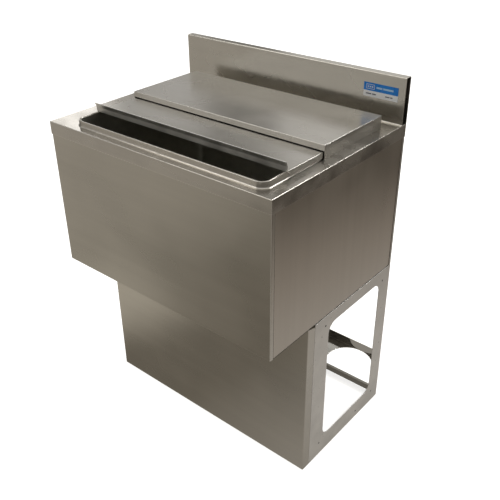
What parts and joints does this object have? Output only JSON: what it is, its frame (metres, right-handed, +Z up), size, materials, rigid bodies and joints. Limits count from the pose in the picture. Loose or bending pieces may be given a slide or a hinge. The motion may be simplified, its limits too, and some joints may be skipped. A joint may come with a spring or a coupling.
{
  "type": "underbar ice bin",
  "caption": "Stainless underbar ice bin: insulated tub in a cabinet with backsplash, sliding front lid, lift-off rear lid, drain and an open-sided set-back base with a rear shelf.",
  "frame": {"origin": "on the floor, under the centre of the width and depth", "axes": "+Z up, front of the bin towards -Y, backsplash at +Y, +X to the right as seen by a person standing at the front"},
  "size_m": [0.6096, 0.4572, 0.8509],
  "materials": {
    "polished_steel": "satin",
    "cabinet_steel": "satin",
    "mill_steel": "matte",
    "liner_steel": "satin",
    "drain_metal": "satin",
    "pipe_metal": "matte",
    "fastener": "satin",
    "gasket": "matte",
    "insulation": "matte",
    "label": "gloss"
  },
  "bodies": {
    "cabinet": {"backsplash": "polished_steel", "base_bolt_1": "fastener", "base_bolt_2": "fastener", "base_bolt_3": "fastener", "base_bolt_4": "fastener", "base_front_panel": "cabinet_steel", "base_rear_rail": "cabinet_steel", "base_side_frame_left": "mill_steel", "base_side_frame_right": "mill_steel", "base_top_rail_front": "mill_steel", "base_top_rail_rear": "mill_steel", "body_back_panel": "mill_steel", "body_bottom_panel": "mill_steel", "body_front_panel": "cabinet_steel", "body_side_panel_left": "cabinet_steel", "body_side_panel_right": "cabinet_steel", "deck_top": "polished_steel", "drain_body": "drain_metal", "drain_gasket": "gasket", "drain_locknut": "drain_metal", "drain_strainer": "drain_metal", "drain_tailpiece": "pipe_metal", "foam_back": "insulation", "foam_bottom": "insulation", "foam_front": "insulation", "foam_left": "insulation", "foam_right": "insulation", "ice_liner": "liner_steel", "label": "label", "rear_shelf": "polished_steel"},
    "front_lid": {"front_lid": "polished_steel"},
    "rear_lid": {"rear_lid": "polished_steel"}
  },
  "joints": [
    {"name": "front_lid_slide", "type": "slide", "parent": "cabinet", "child": "front_lid", "axis": [0, 1, 0], "range_m": [-0.064, 0.108]},
    {"name": "rear_lid_lift", "type": "slide", "parent": "cabinet", "child": "rear_lid", "axis": [0, 0, 1], "range_m": [0, 0.12]}
  ]
}
